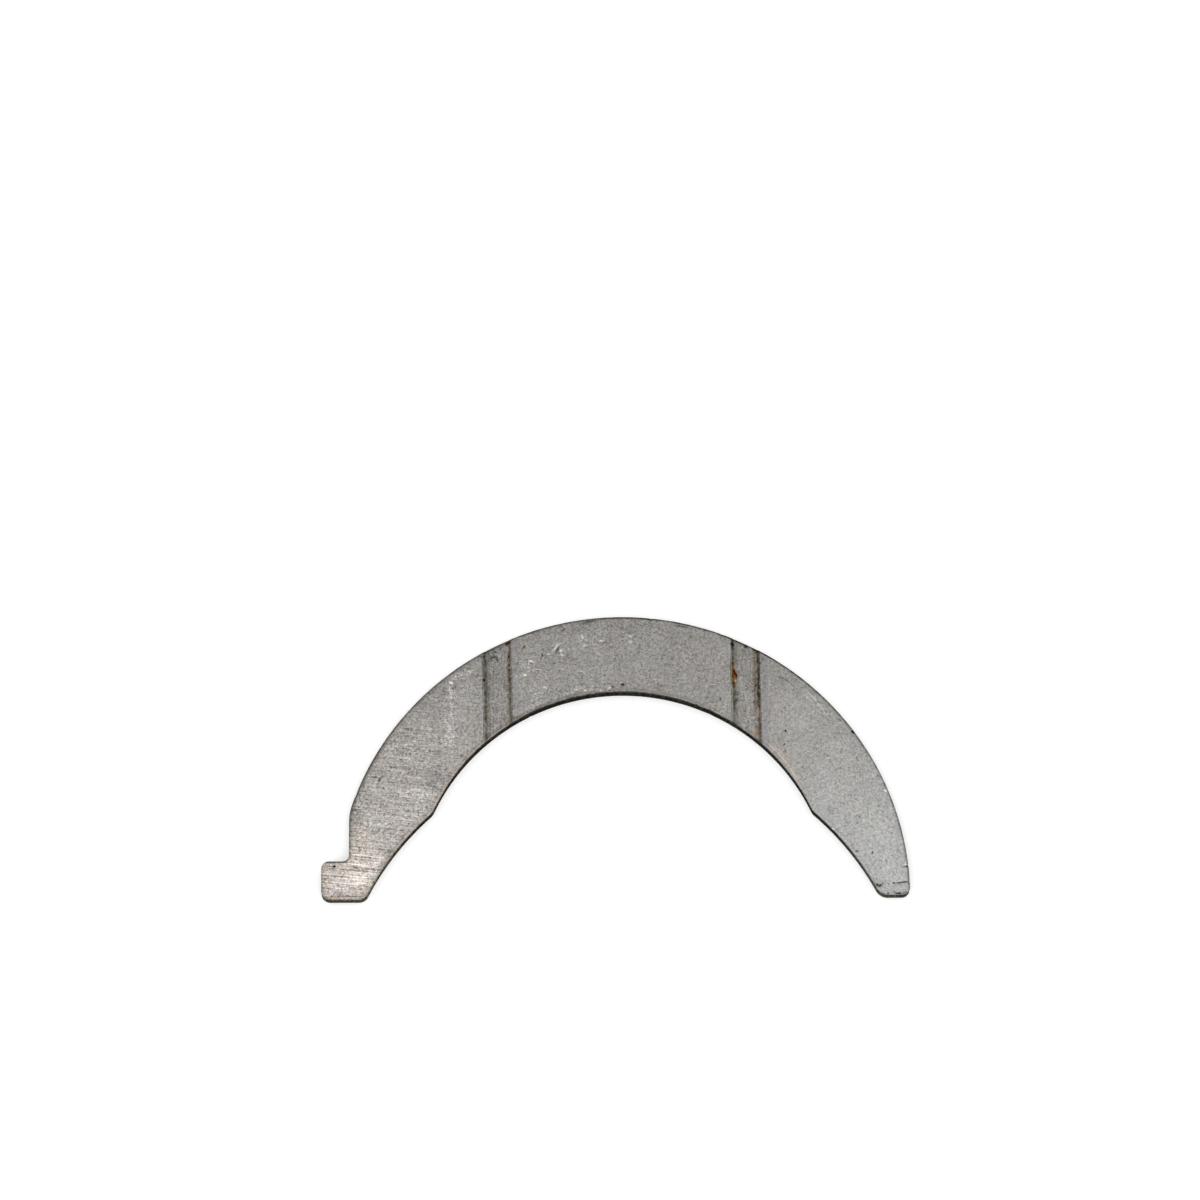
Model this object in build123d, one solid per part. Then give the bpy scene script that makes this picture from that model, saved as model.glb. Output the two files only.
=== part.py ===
from build123d import *
import os
from math import sqrt

# Half-moon crankshaft thrust washer: one flat steel blank with two oil grooves.
# It lies on its plain back, grooved thrust face up. The origin is on the back, at the
# centre of both arcs, where the crank axis passes. +Y points to the crown, the locating
# tab is on the -X foot. All sizes are in millimetres.

# The ring that the washer is part of
outer_radius = 42.0
inner_radius = 30.5
thickness = 2.45

# Blanks nest in the strip, so the outer arc of the next one, a pitch lower, cuts the
# reliefs inside the legs
strip_pitch = 19.0
relief_corner_radius = 2.0

# How far each foot ends below the centre line
tab_foot_drop = 0.6
plain_foot_drop = 0.25

# The flat flank above the tab, as far inside the outer arc as this at the centre line
flank_inset = 1.85
flank_blend_radius = 8.0
flank_offset = outer_radius - flank_inset

# The locating tab: how far it reaches past the outer arc, and its height above the foot end
tab_reach = 2.2
tab_height = 5.8
tab_tip_offset = outer_radius + tab_reach

# Corner radii of the blank
tab_root_radius = 0.9
tab_shoulder_radius = 1.1
tab_toe_radius = 1.4
tab_foot_corner_radius = 1.5
plain_foot_inner_radius = 2.0
plain_foot_outer_radius = 1.2

# Edges: the drawn-in edge that blanking leaves round the thrust face, and the deburred back
face_edge_radius = 0.2
back_edge_break = 0.1

# Oil grooves, milled straight across the ring by a cutter with rounded corners, which
# starts and ends its travel clear of the ring. Both lean a little, in degrees, towards the tab
groove_offset = 18.3
groove_lean = 1.0
groove_depth = 0.4
cutter_width = 4.9
cutter_corner_radius = 1.0
cutter_overrun = 1.0


def relief_disc():
    """The next blank's outer disc, whose edge cuts both reliefs."""
    return Pos(0, -strip_pitch) * Circle(outer_radius)


def crescent():
    """The ring less the relief disc, before the feet are cut off."""
    return Circle(outer_radius) - Circle(inner_radius) - relief_disc()


def leg_window(outer_x, foot_drop):
    """The part of the plane that one leg may fill, from the middle out to outer_x."""
    height = outer_radius + foot_drop
    return Pos(outer_x / 2, height / 2 - foot_drop) * Rectangle(abs(outer_x), height)


def tab():
    """The locating tab, level with the end of its foot and as deep as the leg."""
    width = tab_tip_offset - inner_radius
    centre = Pos(-tab_tip_offset + width / 2, tab_height / 2 - tab_foot_drop)
    return centre * Rectangle(width, tab_height) - relief_disc()


def relief_x(y):
    """Half the width between the reliefs at y."""
    return sqrt(outer_radius**2 - (y + strip_pitch) ** 2)


def round_corner(outline, x, y, radius):
    """Round the corner of the outline that lies at x, y."""
    corner = outline.vertices().sort_by_distance(Vertex(x, y, 0))[0]
    return fillet(corner, radius)


def blank_outline():
    """The outline that the press cuts: crown, two legs, reliefs, flank and tab."""
    window = leg_window(-flank_offset, tab_foot_drop) + leg_window(outer_radius, plain_foot_drop)
    outline = (crescent() & window) + tab()

    flank_top = sqrt(outer_radius**2 - flank_offset**2)
    tab_top = tab_height - tab_foot_drop
    kink_y = (outer_radius**2 - inner_radius**2 - strip_pitch**2) / (2 * strip_pitch)
    kink_x = sqrt(inner_radius**2 - kink_y**2)
    plain_foot_x = sqrt(outer_radius**2 - plain_foot_drop**2)

    outline = round_corner(outline, -flank_offset, flank_top, flank_blend_radius)
    outline = round_corner(outline, -flank_offset, tab_top, tab_root_radius)
    outline = round_corner(outline, -tab_tip_offset, tab_top, tab_shoulder_radius)
    outline = round_corner(outline, -tab_tip_offset, -tab_foot_drop, tab_toe_radius)
    outline = round_corner(outline, -relief_x(-tab_foot_drop), -tab_foot_drop, tab_foot_corner_radius)
    outline = round_corner(outline, relief_x(-plain_foot_drop), -plain_foot_drop, plain_foot_inner_radius)
    outline = round_corner(outline, plain_foot_x, -plain_foot_drop, plain_foot_outer_radius)
    for side in (-1, 1):
        outline = round_corner(outline, side * kink_x, kink_y, relief_corner_radius)
    return outline


def blank():
    """The flat blank, its thrust-face edge drawn in and its back edge broken."""
    body = extrude(blank_outline(), thickness)
    body = fillet(body.edges().group_by(Axis.Z)[-1], face_edge_radius)
    return chamfer(body.edges().group_by(Axis.Z)[0], back_edge_break)


def groove_cut(x):
    """The path of the cutter: its rounded end section, drawn straight across the ring at x."""
    section_height = thickness + 2 * cutter_corner_radius
    section = RectangleRounded(cutter_width, section_height, cutter_corner_radius)
    centre_z = thickness - groove_depth + section_height / 2
    upright = Plane(origin=(0, 0, centre_z), x_dir=(1, 0, 0), z_dir=(0, 1, 0))
    travel = outer_radius - inner_radius + cutter_overrun
    path = extrude(upright * section, travel, both=True)
    mid_ring = (sqrt(outer_radius**2 - x**2) + sqrt(inner_radius**2 - x**2)) / 2
    return Pos(x, mid_ring) * Rot(0, 0, groove_lean) * path


def thrust_washer():
    """The finished washer, with both oil grooves open through the inner and outer arcs."""
    washer = blank()
    for side in (-1, 1):
        washer -= groove_cut(side * groove_offset)
    return washer


os.makedirs("parts", exist_ok=True)
export_step(thrust_washer(), "parts/thrust_washer.step")
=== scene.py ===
import math

import bpy
import numpy as np
from mathutils import Matrix, Vector, noise
from mathutils.geometry import delaunay_2d_cdt
from mathutils.kdtree import KDTree


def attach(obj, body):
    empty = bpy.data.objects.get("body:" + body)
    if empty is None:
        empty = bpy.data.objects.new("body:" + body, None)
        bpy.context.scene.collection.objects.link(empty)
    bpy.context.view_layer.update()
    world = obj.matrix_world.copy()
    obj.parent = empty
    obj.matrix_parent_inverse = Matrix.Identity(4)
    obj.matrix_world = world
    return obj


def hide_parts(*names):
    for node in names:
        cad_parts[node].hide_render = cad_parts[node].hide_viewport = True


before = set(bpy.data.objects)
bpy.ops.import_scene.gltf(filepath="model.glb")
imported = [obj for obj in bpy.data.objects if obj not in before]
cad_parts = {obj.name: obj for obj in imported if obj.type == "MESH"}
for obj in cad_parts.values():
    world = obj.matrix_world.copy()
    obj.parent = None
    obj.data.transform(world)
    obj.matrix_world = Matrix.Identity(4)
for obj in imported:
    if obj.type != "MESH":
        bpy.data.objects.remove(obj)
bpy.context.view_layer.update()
print("frame loaded")

# The scene is in metres. Sizes and places are in millimetres unless a note says metres
mm = 0.001

# The washer's own sizes, as the CAD has them
washer = {
    "outerRadius": 42.0,
    "innerRadius": 30.5,
    "stripPitch": 19.0,
    "thickness": 2.45,
    "faceEdge": 0.2,
    "backBreak": 0.1,
    "grooveOffset": 18.3,
    "grooveLean": 1.0,
    "grooveDepth": 0.4,
    "cutterWidth": 4.9,
    "cutterCorner": 1.0,
    "rimSplit": 36.0,
}

# How finely the washer is meshed: along its outline, in rings inside the outline, on its faces
meshing = {
    "outlineStep": 0.13,
    "straightOver": 1.2,
    "rings": [0.0, 0.02, 0.05, 0.09, 0.14, 0.2, 0.3, 0.42],
    "backRings": [0.0, 0.04, 0.1, 0.2, 0.45],
    "faceStep": 0.33,
    "backStep": 0.75,
    "grooveAcross": [0.0, 0.5, 1.0, 1.45, 1.6, 1.75, 1.9, 2.05, 2.17, 2.25, 2.33, 2.5],
    "grooveAlong": 0.2,
    "coarseFrom": 0.25,  # rings further in than this have half the points
    "rimGap": 0.1,
    "rowHeight": 0.87,
    "jitter": 0.16,
    "grooveMargin": 0.12,
    "grooveEnds": 9.0,
    "markStep": 0.11,
    "markGap": 0.045,
    "markOver": 1.3,
    "markRows": (-0.95, -0.55, -0.22, 0.22, 0.55, 0.95),
    "wideMark": 0.45,
    "markMargin": 0.07,
    "latticeGap": 0.06,
    "fieldGap": 0.16,
    "nickReach": 0.5,
    "wallRows": [0.0, 0.04, 0.1, 0.19, 0.3, 0.42, 0.52, 0.6, 0.68, 0.76, 0.85, 0.93, 1.0],
    "sharpAngle": 34.0,
    "seed": 7,
}

# Wear and marks, on the face unless they are nicks in its outline; the marks' bright tones and the ticks of
# the scuffed places are painted highlights
damage = {
    "edgeSoftening": 0.014,  # the whole outline, worn this far in
    "edgeWander": 0.012,
    "edgeSize": 0.7,
    "nicks": [  # x, y, length, depth
        (4.4, 41.7, 0.45, 0.07),
        (14.8, 39.2, 0.5, 0.06),
        (34.0, 24.2, 0.35, 0.12),
        (38.7, 15.3, 0.3, 0.06),
        (41.9, 4.2, 0.3, 0.14),
        (41.95, 1.8, 0.22, 0.1),
        (-39.2, 15.4, 1.0, 0.05),
        (31.0, 9.6, 0.3, 0.05),
        (-23.2, 20.6, 0.6, 0.05),
        (-13.5, 27.4, 0.5, 0.05),
        (12.9, 27.7, 0.5, 0.04),
        (37.3, 0.9, 0.3, 0.07),
    ],
    # x, y, turn from +X in degrees, length, width, depth, tone from -1 dark to 1 bright
    # bright tones are painted highlights where scratches and dents catch the light, besides some paler
    # patches; dark tones are dirt in the marks and, beside a highlight, its painted shadow
    "marks": [
        # crown, left of the middle
        (-9.7, 37.35, 57, 1.15, 0.18, 0.04, 1.3),
        (-9.5, 36.95, 57, 1.2, 0.29, 0.05, -0.9),
        (-10.25, 36.8, 45, 0.5, 0.16, 0.02, 0.78),
        (-8.95, 36.8, 60, 0.35, 0.26, 0.03, 1.17),
        (-8.8, 36.2, -12, 0.6, 0.18, 0.02, 0.65),
        (-10.7, 36.3, 20, 0.5, 0.2, 0.02, 0.78),
        (-13.4, 35.25, -10, 0.65, 0.22, 0.03, 0.8),
        (-13.3, 34.9, -10, 0.7, 0.24, 0.02, -0.65),
        (-14.2, 33.15, -20, 0.45, 0.25, 0.03, 1.17),
        (-15.5, 33, 20, 0.3, 0.18, 0.02, 0.65),
        (-5.75, 38.9, -50, 0.5, 0.2, 0.02, 0.78),
        (-5.4, 37.6, 30, 0.55, 0.2, 0.02, 0.85),
        (-3, 38.3, 8, 0.65, 0.16, 0.02, 0.78),
        (-11.4, 31.3, -20, 0.5, 0.22, 0.02, 0.91),
        (-14.4, 37.4, 48, 0.7, 0.29, 0.02, -0.81),
        (-11.7, 36.2, 100, 0.6, 0.22, 0.03, -0.98),
        (-8.6, 40, 35, 0.9, 0.29, 0.01, -0.65),
        (-4.7, 41.3, 8, 2.0, 0.5, 0.01, -0.5),
        (-12.6, 32.5, 10, 0.9, 0.22, 0.01, -0.3),
        (-6.6, 30.9, -15, 0.45, 0.2, 0.02, 0.9),
        (-5.4, 30.75, -10, 0.4, 0.18, 0.02, 1.1),
        (-4.6, 30.8, -12, 0.3, 0.18, 0.02, 0.8),
        (-3.2, 30.75, -6, 0.4, 0.16, 0.01, 0.8),
        (-13.4, 28.2, 26, 5.4, 0.46, 0, 0.15),
        (-15.5, 26.75, 30, 1.5, 0.5, 0, -0.25),
        (-11, 37.6, 40, 1.6, 2.2, 0, -0.13),
        (-6.5, 40.2, 10, 3.5, 1.2, 0, -0.14),
        # crown, right of the middle
        (0.13, 31.68, -8, 0.5, 0.44, 0.16, -1.5),
        (0, 31.95, 0, 0.7, 0.18, 0, 0.59),
        (-1.9, 31, 35, 0.7, 0.25, 0.03, 0.78),
        (-1.3, 31.35, -20, 0.5, 0.24, 0.02, -0.81),
        (1.3, 39, -30, 0.7, 0.25, 0.02, 0.65),
        (1.45, 38.1, 60, 0.4, 0.22, 0.02, 0.72),
        (0.2, 40.2, -18, 3, 0.3, 0, -0.22),
        (4.2, 41.65, -6, 0.9, 0.29, 0.03, -1.46),
        (14.7, 39.2, -20, 0.9, 0.26, 0.02, -0.98),
        (2.6, 36.6, 30, 0.35, 0.29, 0.02, -0.74),
        (14.5, 29.4, 0, 0.3, 0.38, 0.03, -0.9),
        (6.5, 30.9, -12, 1.6, 0.2, 0.01, 0.45),
        (5.8, 31.2, -10, 1.4, 0.9, 0, -0.4),
        (1, 40, -10, 3.2, 2.4, 0, -0.12),
        (7.2, 38.4, -20, 3, 3, 0, -0.1),
        (12.8, 29.4, -25, 1.6, 1, 0, -0.22),
        (16.2, 38.59, -22.7, 3.6, 0.24, 0, -0.45),
        (20.9, 36.26, -30, 4.6, 0.22, 0, -0.5),
        (8.8, 40.5, -12, 1.5, 0.24, 0.01, -0.8),
        # left groove
        (-19, 36, 20, 0.9, 0.38, 0.03, -0.98),
        (-18.3, 35.6, 118, 0.8, 0.29, 0.03, -0.9),
        (-18.6, 36.8, 12, 0.6, 0.29, 0.02, -0.65),
        (-18, 36.3, 80, 0.5, 0.22, 0, 0.45),
        (-17, 38, 30, 0.5, 0.44, 0.02, -0.81),
        # right groove
        (16.38, 37.8, -65, 0.55, 0.44, 0.08, -1.5),
        (18.35, 37.4, -25, 0.55, 0.28, 0.02, -1.1),
        (20.2, 33.2, 91, 2.8, 0.32, 0.01, -0.4),
        (20.15, 34.3, 91, 1.4, 0.3, 0, -0.25),
        (20.4, 34.9, 91, 3.2, 0.22, 0, -0.35),
        (20.44, 34.8, 80, 0.5, 0.24, 0.02, -1.0),
        (19.8, 31.5, 60, 0.5, 0.18, 0.01, -0.9),
        (19.3, 30.7, 80, 0.4, 0.15, 0.01, -0.8),
        (19.62, 30.8, 100, 0.45, 0.15, 0.01, -0.8),
        (19.95, 30.2, 40, 0.5, 0.22, 0.02, -0.75),
        (20.2, 29.7, 90, 0.6, 0.24, 0.01, -0.15),
        (19.45, 29.05, 70, 0.5, 0.22, 0.01, -0.8),
        (20.05, 29.05, 100, 0.45, 0.22, 0.01, -0.8),
        (16.9, 29.3, 75, 0.6, 0.3, 0.01, -0.6),
        # left leg and tab
        (-25.15, 32, -28, 0.6, 0.25, 0.03, 1.3),
        (-24.5, 33, 70, 0.5, 0.16, 0.02, 0.78),
        (-23.6, 33.15, 25, 0.5, 0.16, 0.02, 0.65),
        (-22.5, 33.7, -20, 0.45, 0.2, 0.02, 1.04),
        (-25.4, 31, 85, 0.6, 0.16, 0.01, 0.78),
        (-25.2, 29.4, 88, 3.4, 0.5, 0, 0.12),
        (-25.35, 24.6, 91, 5.2, 0.6, 0, 0.16),
        (-25.1, 21.4, 88, 2.4, 0.54, 0, 0.1),
        (-33.8, 22.1, -12, 1.8, 0.29, 0.01, 0.22),
        (-34.6, 22.5, -8, 1.1, 0.24, 0.01, 0.2),
        (-28, 24.6, -20, 3.6, 2.6, 0, 0.09),
        (-23.6, 28, 80, 4, 2.4, 0, 0.07),
        (-30.6, 15, -8, 3, 1.4, 0, 0.12),
        (-34, 11.7, -8, 2.4, 1, 0, 0.12),
        (-34.6, 8.4, -8, 2.4, 1.2, 0, 0.08),
        (-27.2, 17.6, -12, 2.6, 2, 0, -0.3),
        (-27.3, 21.4, -12, 2.6, 1.6, 0, -0.12),
        (-36.2, 18.6, -8, 2.4, 0.7, 0, -0.18),
        (-39.1, 11.9, 85, 2.6, 1.4, 0, -0.22),
        (-39.2, 9.4, 85, 2, 1, 0, -0.2),
        (-33.6, 19.6, -8, 4.4, 0.22, 0, -0.2),
        (-34.6, 17.9, -8, 3.6, 0.2, 0, -0.18),
        (-32.4, 18.7, -7, 3.2, 0.2, 0, 0.14),
        (-33.2, 20.8, -8, 4.8, 0.2, 0, 0.15),
        (-31.4, 21.9, -7, 3.2, 0.2, 0, -0.16),
        (-35.4, 16.4, -7, 3.6, 0.2, 0, 0.14),
        (-37, 14.4, -6, 3, 0.2, 0, -0.2),
        (-29.6, 19.8, -8, 3.6, 0.2, 0, -0.16),
        (-29, 16.8, -10, 3.2, 0.2, 0, -0.22),
        (-30.5, 17.7, -9, 4, 0.18, 0, 0.14),
        (-32.5, 13.5, -7, 4.4, 0.2, 0, -0.15),
        (-34.5, 12.9, -6, 4, 0.18, 0, 0.14),
        (-28, 16.45, -18, 1.6, 0.25, 0.02, -0.6),
        (-35.68, 17.3, 72, 0.8, 0.22, 0.04, -1.23),
        (-36.3, 17.75, -8, 1.2, 0.22, 0.01, -0.65),
        (-23.6, 20.9, 30, 0.6, 0.44, 0.02, -0.56),
        (-32.35, 8.75, -40, 0.5, 0.47, 0.02, -0.52),
        (-38.6, 6.95, 92, 0.9, 0.22, 0.03, -0.58),
        (-37.2, 5.85, -7, 5.2, 0.16, 0.01, 0.5),
        (-38, 5.4, -7, 4.4, 0.2, 0.02, -0.42),
        (-36.6, 4.95, -8, 3.4, 0.16, 0.01, 0.28),
        (-38.9, 4.6, -7, 4.6, 0.16, 0.01, 0.45),
        (-38.2, 4.15, -6, 3.8, 0.2, 0.02, -0.46),
        (-38.5, 3.75, -6, 2.4, 0.3, 0.02, -0.42),
        (-36.6, 3.6, -8, 1.6, 0.16, 0.01, 0.3),
        (-40.6, 3.9, -5, 2, 0.2, 0.01, -0.39),
        (-38.55, 2.4, -12, 2.4, 1.7, 0, 0.3),
        (-39.8, 1.7, -4, 2.6, 0.22, 0.01, 0.28),
        (-42.25, 4.4, 0, 0.36, 0.36, 0.06, -1.5),
        (-41.9, 5.02, 0, 3.3, 0.24, 0, -0.75),
        (-40.3, 5.4, 50, 0.8, 0.22, 0, -0.5),
        (-40.4, -0.13, 0, 4.2, 0.2, 0.01, -0.6),
        (-40.4, -0.33, 0, 4, 0.14, 0, 0.25),
        (-42.7, 4.02, -10, 1, 0.24, 0.01, -0.55),
        (-41, 3, 0, 0.5, 0.24, 0.01, -0.35),
        (-41.6, 1.4, 20, 0.7, 0.28, 0.01, -0.35),
        (-39.9, 0.9, 0, 0.6, 0.22, 0.01, -0.32),
        (-37.7, 3, 0, 0.6, 0.26, 0.01, -0.35),
        (-37.4, 3.6, -7, 4.6, 3.6, 0, 0.07),
        (-41.3, 0.25, 4, 1.3, 0.55, 0.01, -0.36),
        (-38.9, 12.9, 0, 1.3, 0.22, 0.01, -0.65),
        (-31.2, 11.2, -8, 3, 0.27, 0, 0.25),
        (-36.9, 10.7, -4, 3.2, 0.22, 0, 0.3),
        (-34.1, 10, -4, 1.8, 0.22, 0.01, -0.65),
        # right leg and foot
        (25.2, 27, -50, 6.5, 4.6, 0, 0.085),
        (31.6, 21.4, -60, 4.4, 2.8, 0, 0.075),
        (30, 15, -60, 1.8, 1.6, 0, 0.09),
        (30.6, 12.6, -50, 1.4, 1, 0, -0.22),
        (24.05, 24.5, 40, 0.32, 0.41, 0.03, -1.14),
        (24, 28, 80, 0.35, 0.29, 0.02, -0.74),
        (23.85, 22.5, 60, 0.4, 0.29, 0.02, -0.81),
        (24, 21.5, 70, 0.35, 0.24, 0.02, -0.65),
        (34, 24.25, -32, 0.7, 0.29, 0.04, -1.46),
        (30.2, 20.7, 0, 0.3, 0.35, 0.02, -0.81),
        (30.35, 20.35, 0, 0.3, 0.2, 0, 0.52),
        (32.1, 26.1, -45, 0.5, 0.29, 0.01, -0.65),
        (24.6, 31.9, -40, 1.9, 0.22, 0.01, -0.65),
        (24.8, 31.5, -42, 1.4, 0.2, 0.01, 0.3),
        (23.4, 32.6, -12, 1.2, 0.22, 0.01, -0.56),
        (28, 29.7, -45, 2.4, 0.16, 0.01, 0.52),
        (27.5, 29.4, -47, 1.6, 0.2, 0.01, 0.3),
        (34.7, 11.5, 30, 0.4, 0.29, 0.01, -0.74),
        (36.55, 6.1, 0, 0.28, 0.38, 0.03, -1.06),
        (34.25, 6.35, -15, 0.6, 0.29, 0.02, -0.81),
        (38.6, 4.8, 95, 0.45, 0.22, 0.02, -0.81),
        (30.8, 9.62, -40, 0.36, 0.22, 0, 1.17),
        (38.65, 15.35, -20, 0.45, 0.22, 0.02, 0.91),
        (37.35, 1.2, -16, 0.85, 0.4, 0.07, -1.1),
        (37.9, 1.4, 30, 0.6, 0.32, 0.02, -0.56),
        (39.6, 1.5, 0, 0.4, 0.34, 0.04, -0.8),
        (40.95, 1.62, 6, 1.9, 0.22, 0.05, -1.0),
        (41.35, 4, 10, 1, 0.2, 0.04, -0.95),
        (41.55, 4.25, 6, 0.7, 0.16, 0.02, 0.9),
        (40.3, 1.45, 4, 1.3, 0.18, 0.01, -0.4),
        (41.05, -0.02, 18, 1.5, 0.26, 0, -0.5),
        (37.7, -0.05, -24, 1.3, 0.3, 0, -0.4),
        (40.1, -0.05, 0, 1, 0.24, 0.03, -1.14),
        (38.7, -0.05, 0, 0.4, 0.24, 0.03, -0.98),
    ],
    # x, y, turn, length, width, amount
    "stains": {
        "rust": [
            (16.5, 34.05, 105, 0.5, 0.22, 0.6),
            (16.72, 33.25, 110, 1.15, 0.38, 1.1),
            (16.8, 32.78, 118, 0.45, 0.26, 0.9),
            (15.3, 38.5, -22, 0.9, 0.3, 0.35),
            (17.3, 38.1, -22, 0.6, 0.2, 0.35),
            (19.95, 24.1, -60, 0.5, 0.3, 0.4),
        ],
        "deepRust": [
            (16.64, 33.55, 110, 0.75, 0.3, 1.5),
            (16.94, 33.05, 95, 0.46, 0.24, 1.1),
            (-20.3, 36.05, 60, 0.35, 0.3, 0.7),
            (-20.3, 32.5, 20, 0.45, 0.34, 0.9),
            (-16.65, 36.05, 90, 0.5, 0.26, 0.8),
            (-16.6, 34.75, 95, 0.5, 0.24, 0.7),
            (-16.6, 34.0, 90, 0.45, 0.24, 0.7),
            (-16.55, 32.6, 90, 0.5, 0.22, 0.6),
            (-16.65, 38.1, 25, 0.9, 0.35, 0.55),
        ],
        "varnish": [
            (16.4, 33.65, 91, 3.4, 0.42, 1.6),
            (16.5, 31.8, 88, 1.3, 0.42, 0.75),
            (19.65, 35.6, 90, 2.0, 0.4, 0.25),
            (19.6, 31.4, 90, 1.8, 0.5, 0.25),
            (-15.3, 26.75, 32, 0.8, 0.3, 0.7),
            (19.5, 24.5, -60, 0.9, 0.4, 0.5),
            (17.2, 28.0, 0, 0.9, 0.5, 0.25),
        ],
        "olive": [
            (-20.34, 34.25, 90, 3.0, 0.34, 0.9),
            (-4.6, 41.25, 7, 1.9, 0.6, 0.4),
            (19.7, 34.3, 91, 3.0, 0.34, 0.55),
            (19.6, 31.3, 90, 0.8, 0.34, 0.5),
            (19.75, 30.5, 30, 0.4, 0.24, 0.7),
        ],
        "tan": [
            # the first row is a painted highlight on the right groove's left wall
            (16.77, 32.22, 90, 0.3, 0.18, 0.9),
            (19.5, 24.5, -60, 0.9, 0.4, 0.35),
            (20.0, 27.4, 85, 1.6, 0.4, 0.2),
            (22.1, 21.95, -46, 1.9, 0.16, 0.7),
            (23.7, 20.15, -50, 2.4, 0.17, 1.2),
            (25.2, 18.0, -56, 2.6, 0.16, 0.9),
            (23.35, 21.2, -48, 2.2, 0.14, 0.6),
            (-13.2, 32.5, 0, 0.5, 0.4, 0.3),
        ],
        # where the face is scuffed, for painted glints: fine bright ticks
        "scuffGlints": [
            (-25.85, 26.0, 89, 8.5, 0.6, 0.9),
            (-25.0, 25.4, 90, 9.5, 0.6, 1.0),
            (-23.5, 33.3, 28, 3.6, 1.1, 0.8),
            (-25.2, 31.0, 85, 2.4, 0.6, 0.3),
            (-24.0, 29.6, -25, 2.4, 0.5, 0.8),
            (-9.3, 37.1, 55, 1.8, 1.3, 0.4),
            (-13.4, 34.0, -40, 5.5, 3.0, 0.5),
            (-13.2, 31.0, -30, 5.0, 2.0, 0.35),
            (-13.4, 28.25, 26, 5.0, 0.7, 0.6),
            (-8.6, 30.2, 16, 4.0, 0.6, 0.7),
            (-5.4, 38.6, -30, 2.2, 1.4, 0.5),
            (1.2, 38.4, -50, 2.2, 1.4, 0.4),
            (-3.6, 31.0, -5, 7.0, 0.8, 0.6),
            (-31.5, 21.5, -8, 7.0, 3.0, 0.6),
            (-30.5, 15.0, -8, 4.5, 2.0, 0.6),
            (-37.5, 4.8, -7, 7.0, 2.2, 0.5),
            (-37.0, 2.6, -30, 4.0, 1.8, 0.45),
            (-41.5, 2.0, 0, 3.5, 2.2, 0.4),
            (19.4, 26.5, -50, 2.6, 1.2, 0.6),
            (15.0, 28.0, 60, 2.6, 1.2, 0.5),
            (29.0, 28.0, -45, 9.0, 1.6, 0.4),
            (39.5, 3.2, 80, 5.0, 2.2, 0.15),
        ],
    },
    "waviness": 0.004,
    "hollow": 0.6,
    "waves": [(7.0, 0.3), (1.4, 0.25)],  # size, share
    "rollWander": 0.3,
    "rollSize": 3.0,
    "shearLevel": 0.95,  # the sheared upper part of the wall ends at about this height
    "shearWander": 0.22,
    "shearSize": 2.2,
    "shearLines": 0.012,
    "lineSize": 0.45,
    "lineStretch": 0.12,  # the lines run down the wall
    "tearInset": 0.03,
    "tearRoughness": 0.03,
    "tearSize": 0.35,
    "tearBlend": 0.12,
    "wallEnds": 0.08,
}


def addObject(name, data):
    thing = bpy.data.objects.new(name, data)
    bpy.context.scene.collection.objects.link(thing)
    return thing


def smoothStep(value, low, high):
    t = np.clip((value - low) / (high - low), 0.0, 1.0)
    return t * t * (3.0 - 2.0 * t)


def wander(points, size, octaves=2):
    # smooth noise from about -1 to 1, with lumps of the given size
    flat = np.asarray(points, float) / size
    if flat.shape[1] == 2:
        flat = np.column_stack([flat, np.zeros(len(flat))])
    return np.array([noise.fractal(Vector(p), 0.6, 2.0, octaves) for p in flat])


# The outline, read from the frame and drawn round again
def readOutline(mesh, level):
    places = np.zeros(len(mesh.vertices) * 3)
    mesh.vertices.foreach_get("co", places)
    places = places.reshape(-1, 3) / mm
    welded, place = np.unique(np.round(places, 4), axis=0, return_inverse=True)
    place = place.ravel()
    onLevel = np.abs(welded[:, 2] - level) < 0.001
    neighbours = {}
    for face in mesh.polygons:
        corners = [int(place[v]) for v in face.vertices]
        for a, b in zip(corners, corners[1:] + corners[:1]):
            if a != b and onLevel[a] and onLevel[b]:
                neighbours.setdefault(a, set()).add(b)
                neighbours.setdefault(b, set()).add(a)
    start = min(neighbours, key=lambda v: tuple(welded[v]))
    loop = [start]
    while True:
        onward = sorted(v for v in neighbours[loop[-1]] if v not in loop[-2:])
        step = onward[0] if len(loop) > 1 else sorted(neighbours[start])[0]
        if step == start:
            break
        loop.append(step)
    outline = welded[loop, :2]
    ahead = np.roll(outline, -1, axis=0)
    area = np.sum(outline[:, 0] * ahead[:, 1] - ahead[:, 0] * outline[:, 1])
    return outline if area > 0 else outline[::-1].copy()


def outlineTangents(corners):
    # on a long arc square to its radius, at a straight's ends along it, else between the neighbours
    spans = np.roll(corners, -1, axis=0) - corners
    lengths = np.hypot(*spans.T)
    tangents = np.roll(corners, -1, axis=0) - np.roll(corners, 1, axis=0)
    arcs = [
        (0.0, washer["outerRadius"]),
        (0.0, washer["innerRadius"]),
        (-washer["stripPitch"], washer["outerRadius"]),
    ]
    onArc = np.full(len(corners), -1)
    for number, (centreY, radius) in enumerate(arcs):
        away = corners - (0.0, centreY)
        near = np.abs(np.hypot(*away.T) - radius) < 0.002
        across = np.column_stack([-away[:, 1], away[:, 0]])
        flip = np.sign(np.sum(across * tangents, axis=1))
        tangents[near] = (across * flip[:, None])[near]
        onArc[near] = number
    for i in range(len(corners)):
        j = (i + 1) % len(corners)
        if lengths[i] > meshing["straightOver"] and not (onArc[i] >= 0 and onArc[i] == onArc[j]):
            for end in (i, j):
                if onArc[end] < 0:
                    tangents[end] = spans[i]
    return tangents / np.hypot(*tangents.T)[:, None], lengths


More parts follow.
